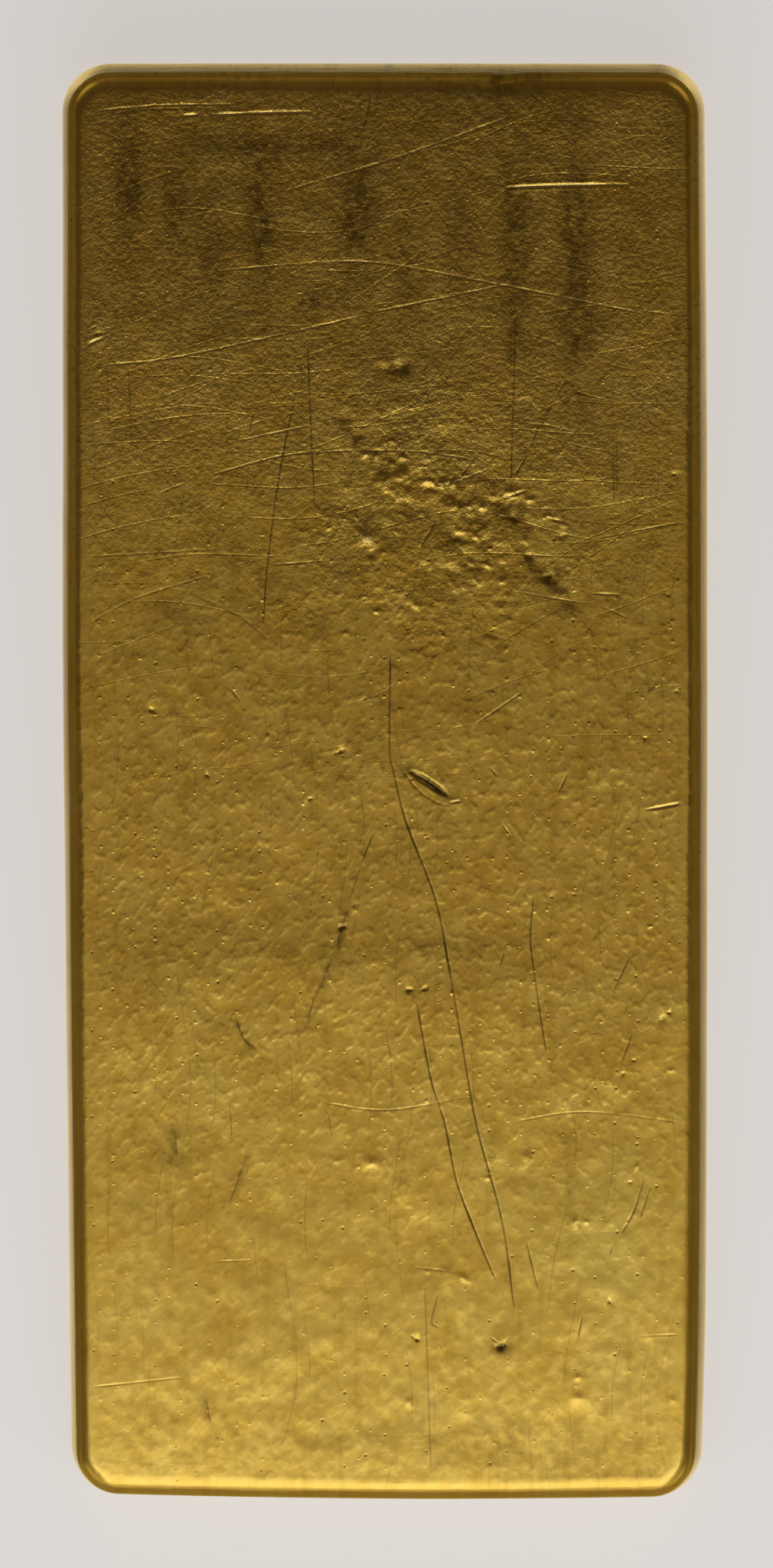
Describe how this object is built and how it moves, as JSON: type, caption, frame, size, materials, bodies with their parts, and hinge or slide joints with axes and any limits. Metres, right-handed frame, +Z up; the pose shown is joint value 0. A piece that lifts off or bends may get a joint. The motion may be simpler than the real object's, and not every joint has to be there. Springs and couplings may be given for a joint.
{
  "type": "metal ingot",
  "caption": "Flat cast ingot of yellow precious metal with drafted sides, rounded edges and a shallow shrinkage sink in its underside, for storing and stacking as raw stock.",
  "frame": {"origin": "middle of the underside, at the level of the land that the ingot rests on", "axes": "+Y along the ingot's length, +X across its width, +Z up through its thickness to the mould-side face"},
  "size_m": [0.0524, 0.117, 0.0089],
  "materials": {
    "cast_gold": "as cast, satin, with handling scratches"
  },
  "bodies": {
    "root": {"ingot": "cast_gold"}
  },
  "joints": []
}
